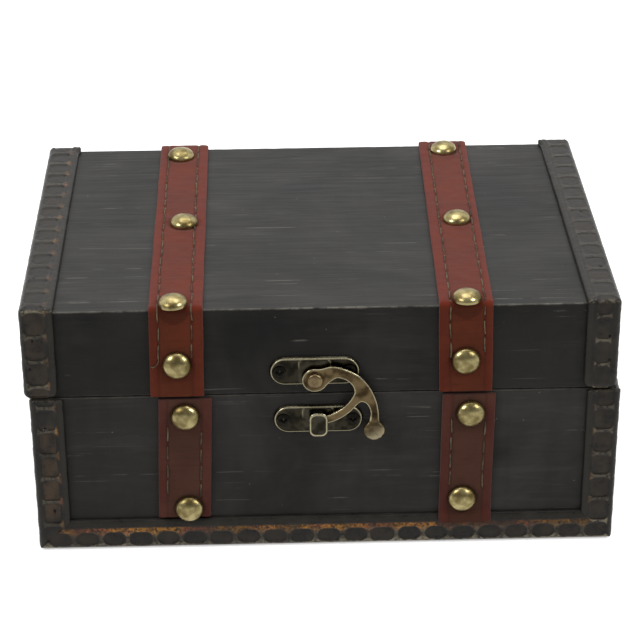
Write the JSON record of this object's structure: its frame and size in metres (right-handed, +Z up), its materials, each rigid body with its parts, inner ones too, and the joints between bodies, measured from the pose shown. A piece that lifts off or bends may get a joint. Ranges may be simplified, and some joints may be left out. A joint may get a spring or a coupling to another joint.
{
  "type": "wooden jewelry box",
  "caption": "Small hinged wooden keepsake box with carved corner mouldings, nailed leather straps and a swing-hook latch.",
  "frame": {"origin": "middle of the base's underside, midway between its mouldings", "axes": "+X to the right along the width, the front with the latch faces -Y, +Z up"},
  "size_m": [0.1813, 0.132, 0.0876],
  "materials": {
    "stained_wood": "dark grey-black stained board, low sheen, fine grain",
    "carved_wood": "dark stained carved moulding, worn to brown between the carvings",
    "strap_leather": "red-brown strap leather, stitched along both edges, soft sheen",
    "nail_brass": "antique domed brass, mottled",
    "latch_bronze": "antique bronze with worn bright edges",
    "screw_steel": "blackened cross-head screw",
    "hinge_bronze": "antique bronze"
  },
  "bodies": {
    "base": {"base_back_board": "stained_wood", "base_bottom": "stained_wood", "base_front_board": "stained_wood", "base_left_board": "stained_wood", "base_nail_left_lower": "nail_brass", "base_nail_left_upper": "nail_brass", "base_nail_right_lower": "nail_brass", "base_nail_right_upper": "nail_brass", "base_post_back_left": "carved_wood", "base_post_back_right": "carved_wood", "base_post_front_left": "carved_wood", "base_post_front_right": "carved_wood", "base_rail_back": "carved_wood", "base_rail_front": "carved_wood", "base_rail_left": "carved_wood", "base_rail_right": "carved_wood", "base_right_board": "stained_wood", "base_strap_back_left": "strap_leather", "base_strap_back_right": "strap_leather", "base_strap_front_left": "strap_leather", "base_strap_front_right": "strap_leather", "catch_plate": "latch_bronze", "catch_screw_left": "screw_steel", "catch_screw_right": "screw_steel", "hinge_left_base_leaf": "hinge_bronze", "hinge_left_pin": "hinge_bronze", "hinge_right_base_leaf": "hinge_bronze", "hinge_right_pin": "hinge_bronze"},
    "lid": {"hinge_left_lid_leaf": "hinge_bronze", "hinge_right_lid_leaf": "hinge_bronze", "latch_plate": "latch_bronze", "latch_rivet": "latch_bronze", "latch_screw_left": "screw_steel", "latch_screw_right": "screw_steel", "lid_back_board": "stained_wood", "lid_front_board": "stained_wood", "lid_left_board": "stained_wood", "lid_nail_left_back": "nail_brass", "lid_nail_left_front": "nail_brass", "lid_nail_left_top_back": "nail_brass", "lid_nail_left_top_front": "nail_brass", "lid_nail_left_top_middle": "nail_brass", "lid_nail_right_back": "nail_brass", "lid_nail_right_front": "nail_brass", "lid_nail_right_top_back": "nail_brass", "lid_nail_right_top_front": "nail_brass", "lid_nail_right_top_middle": "nail_brass", "lid_post_back_left": "carved_wood", "lid_post_back_right": "carved_wood", "lid_post_front_left": "carved_wood", "lid_post_front_right": "carved_wood", "lid_right_board": "stained_wood", "lid_strap_left": "strap_leather", "lid_strap_right": "strap_leather", "lid_top_board": "stained_wood", "lid_top_trim_left": "carved_wood", "lid_top_trim_right": "carved_wood"},
    "hook": {"latch_hook": "latch_bronze"}
  },
  "joints": [
    {"name": "lid_hinge", "type": "hinge", "parent": "base", "child": "lid", "pos_m": [0, 0.0622, 0.05375], "axis": [-1, 0, 0], "range_deg": [0, 100]},
    {"name": "hook_swing", "type": "hinge", "parent": "lid", "child": "hook", "pos_m": [-0.00335, -0.0612, 0.05965], "axis": [0, -1, 0], "range_deg": [-20, 100]}
  ]
}
